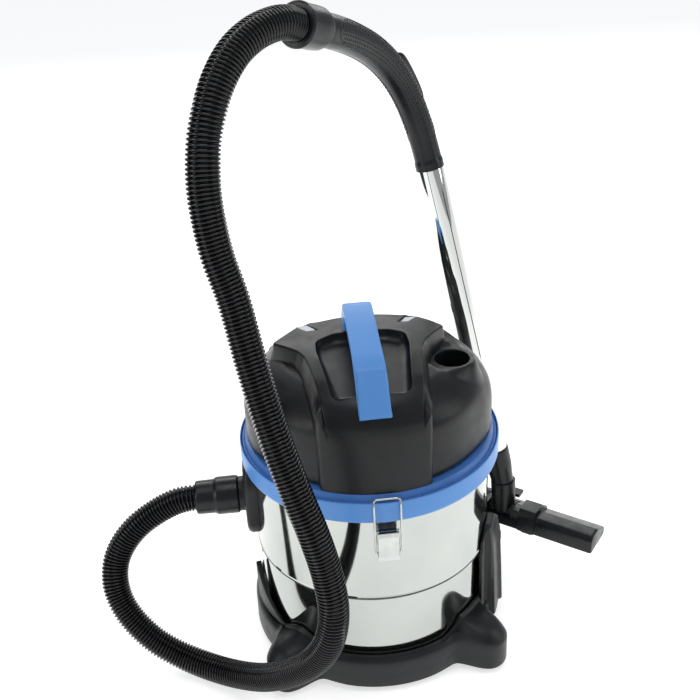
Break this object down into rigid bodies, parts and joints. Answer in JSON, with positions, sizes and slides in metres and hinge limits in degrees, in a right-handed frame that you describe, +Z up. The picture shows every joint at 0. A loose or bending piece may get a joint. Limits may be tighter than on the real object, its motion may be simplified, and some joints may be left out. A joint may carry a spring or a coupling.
{
  "type": "shop vacuum",
  "caption": "Wheeled wet and dry canister vacuum: steel tank on a castored base, latched motor head with carrying handle, ribbed hose, bent grip, chrome wand and floor nozzle.",
  "frame": {"origin": "on the floor, in the middle of the footprint without the hose", "axes": "+Z up; -Y the front, with the first latch and the carrying handle's front foot; -X the side of the hose inlet; the wand and floor nozzle are parked on the +X side, at the back"},
  "size_m": [0.7089, 0.4615, 0.8403],
  "materials": {
    "black_plastic": "fine moulded texture with a soft sheen",
    "blue_plastic": "satin gloss moulded plastic",
    "bristle": "nylon bristle",
    "chrome": "bright plated tube",
    "filter_paper": "pleated filter paper",
    "grey_plastic": "satin moulded plastic",
    "hose": "glossy ribbed polyethylene",
    "rubber": "matt rubber",
    "stainless": "polished stainless sheet",
    "steel": "plated pressed steel",
    "white_foam": "hollow white polypropylene"
  },
  "bodies": {
    "root": {"base_dolly": "black_plastic", "base_tray": "black_plastic", "left_cradle_arm": "black_plastic", "nozzle_post": "black_plastic", "nozzle_rest": "black_plastic", "tank": "stainless", "tank_rim": "blue_plastic", "inlet_boss": "black_plastic", "latch_base_front": "steel", "latch_base_rear": "steel", "hose_cuff": "black_plastic", "suction_hose": "hose", "grip": "black_plastic", "wand_tube": "chrome", "nozzle_neck": "black_plastic"},
    "motor_head": {"lid_ring": "blue_plastic", "lid_seal": "rubber", "motor_cover": "black_plastic", "carry_handle": "blue_plastic", "cable_gland": "rubber", "motor_plate": "black_plastic", "motor_body": "steel", "fan_housing": "steel", "filter_cage": "grey_plastic", "filter_cartridge": "filter_paper", "filter_cap": "black_plastic"},
    "rotor": {"impeller": "steel", "motor_shaft": "steel"},
    "float": {"float_ball": "white_foam"},
    "rocker": {"power_rocker": "blue_plastic"},
    "lever_front": {"latch_lever_front": "steel"},
    "bail_front": {"latch_bail_front": "steel"},
    "lever_rear": {"latch_lever_rear": "steel"},
    "bail_rear": {"latch_bail_rear": "steel"},
    "swivel_front_left": {"caster_fork_front_left": "grey_plastic", "caster_axle_front_left": "steel"},
    "wheel_front_left": {"caster_wheel_front_left": "rubber"},
    "swivel_front_right": {"caster_fork_front_right": "grey_plastic", "caster_axle_front_right": "steel"},
    "wheel_front_right": {"caster_wheel_front_right": "rubber"},
    "swivel_rear_left": {"caster_fork_rear_left": "grey_plastic", "caster_axle_rear_left": "steel"},
    "wheel_rear_left": {"caster_wheel_rear_left": "rubber"},
    "swivel_rear_right": {"caster_fork_rear_right": "grey_plastic", "caster_axle_rear_right": "steel"},
    "wheel_rear_right": {"caster_wheel_rear_right": "rubber"},
    "collar": {"swivel_collar": "black_plastic"},
    "slider": {"air_slider": "black_plastic"},
    "floor_head": {"nozzle_head": "black_plastic", "sole_plate": "steel", "roller_pin_left": "steel", "roller_pin_right": "steel"},
    "pedal": {"nozzle_pedal": "black_plastic"},
    "brush": {"brush_strip": "bristle"},
    "roller_left": {"nozzle_roller_left": "rubber"},
    "roller_right": {"nozzle_roller_right": "rubber"}
  },
  "joints": [
    {"name": "lid_lift", "type": "slide", "parent": "root", "child": "motor_head", "axis": [0, 0, 1], "range_m": [0, 0.12]},
    {"name": "rotor_spin", "type": "hinge", "parent": "motor_head", "child": "rotor", "pos_m": [-0.05345, -0.01002, 0.35], "axis": [0, 0, 1], "continuous": true},
    {"name": "float_rise", "type": "slide", "parent": "motor_head", "child": "float", "axis": [0, 0, 1], "range_m": [0, 0.044]},
    {"name": "rocker_press", "type": "hinge", "parent": "motor_head", "child": "rocker", "pos_m": [-0.10345, 0.13698, 0.36], "axis": [1, 0, 0], "range_deg": [-8, 8]},
    {"name": "lever_front_swing", "type": "hinge", "parent": "root", "child": "lever_front", "pos_m": [-0.05345, -0.17552, 0.26], "axis": [-1, 0, 0], "range_deg": [0, 100]},
    {"name": "bail_front_swing", "type": "hinge", "parent": "lever_front", "child": "bail_front", "pos_m": [-0.05345, -0.18052, 0.234], "axis": [1, 0, 0], "range_deg": [0, 200]},
    {"name": "lever_rear_swing", "type": "hinge", "parent": "root", "child": "lever_rear", "pos_m": [-0.05345, 0.15548, 0.26], "axis": [1, 0, 0], "range_deg": [0, 100]},
    {"name": "bail_rear_swing", "type": "hinge", "parent": "lever_rear", "child": "bail_rear", "pos_m": [-0.05345, 0.16048, 0.234], "axis": [-1, 0, 0], "range_deg": [0, 200]},
    {"name": "swivel_front_left_turn", "type": "hinge", "parent": "root", "child": "swivel_front_left", "pos_m": [-0.18356, -0.14013, 0.04], "axis": [0, 0, 1], "continuous": true},
    {"name": "wheel_front_left_roll", "type": "hinge", "parent": "swivel_front_left", "child": "wheel_front_left", "pos_m": [-0.17684, -0.13341, 0.0145], "axis": [0.7071, -0.7071, 0], "continuous": true},
    {"name": "swivel_front_right_turn", "type": "hinge", "parent": "root", "child": "swivel_front_right", "pos_m": [0.07666, -0.14013, 0.04], "axis": [0, 0, 1], "continuous": true},
    {"name": "wheel_front_right_roll", "type": "hinge", "parent": "swivel_front_right", "child": "wheel_front_right", "pos_m": [0.06994, -0.13341, 0.0145], "axis": [0.7071, 0.7071, 0], "continuous": true},
    {"name": "swivel_rear_left_turn", "type": "hinge", "parent": "root", "child": "swivel_rear_left", "pos_m": [-0.18356, 0.12009, 0.04], "axis": [0, 0, 1], "continuous": true},
    {"name": "wheel_rear_left_roll", "type": "hinge", "parent": "swivel_rear_left", "child": "wheel_rear_left", "pos_m": [-0.17684, 0.11337, 0.0145], "axis": [-0.7071, -0.7071, 0], "continuous": true},
    {"name": "swivel_rear_right_turn", "type": "hinge", "parent": "root", "child": "swivel_rear_right", "pos_m": [0.07666, 0.12009, 0.04], "axis": [0, 0, 1], "continuous": true},
    {"name": "wheel_rear_right_roll", "type": "hinge", "parent": "swivel_rear_right", "child": "wheel_rear_right", "pos_m": [0.06994, 0.11337, 0.0145], "axis": [-0.7071, 0.7071, 0], "continuous": true},
    {"name": "collar_turn", "type": "hinge", "parent": "root", "child": "collar", "pos_m": [-0.08785, 0.01098, 0.8034], "axis": [-0.5941, -0.7541, 0.28], "continuous": true},
    {"name": "air_slide", "type": "hinge", "parent": "root", "child": "slider", "pos_m": [-0.04531, -0.00265, 0.62627], "axis": [0.803, -0.5474, 0.2358], "range_deg": [-3, 3]},
    {"name": "nozzle_tilt", "type": "hinge", "parent": "root", "child": "floor_head", "pos_m": [0.15355, 0.06798, 0.085], "axis": [-0.7821, 0.6231, 0], "range_deg": [0, 25]},
    {"name": "pedal_press", "type": "hinge", "parent": "floor_head", "child": "pedal", "pos_m": [0.16601, 0.08362, 0.1], "axis": [-0.7821, 0.6231, 0], "range_deg": [0, 6]},
    {"name": "brush_drop", "type": "slide", "parent": "floor_head", "child": "brush", "axis": [0, 0, -1], "range_m": [0, 0.004]},
    {"name": "roller_left_roll", "type": "hinge", "parent": "floor_head", "child": "roller_left", "pos_m": [0.11104, 0.08523, 0.0725], "axis": [0.7821, -0.6231, 0], "continuous": true},
    {"name": "roller_right_roll", "type": "hinge", "parent": "floor_head", "child": "roller_right", "pos_m": [0.17986, 0.03039, 0.0725], "axis": [0.7821, -0.6231, 0], "continuous": true}
  ],
  "couplings": [
    {"joint": "lever_front_swing", "follows": "lid_lift", "rad_per_m": 14.5},
    {"joint": "bail_front_swing", "follows": "lid_lift", "rad_per_m": 29},
    {"joint": "lever_rear_swing", "follows": "lid_lift", "rad_per_m": 14.5},
    {"joint": "bail_rear_swing", "follows": "lid_lift", "rad_per_m": 29},
    {"joint": "brush_drop", "follows": "pedal_press", "m_per_rad": 0.0381}
  ]
}
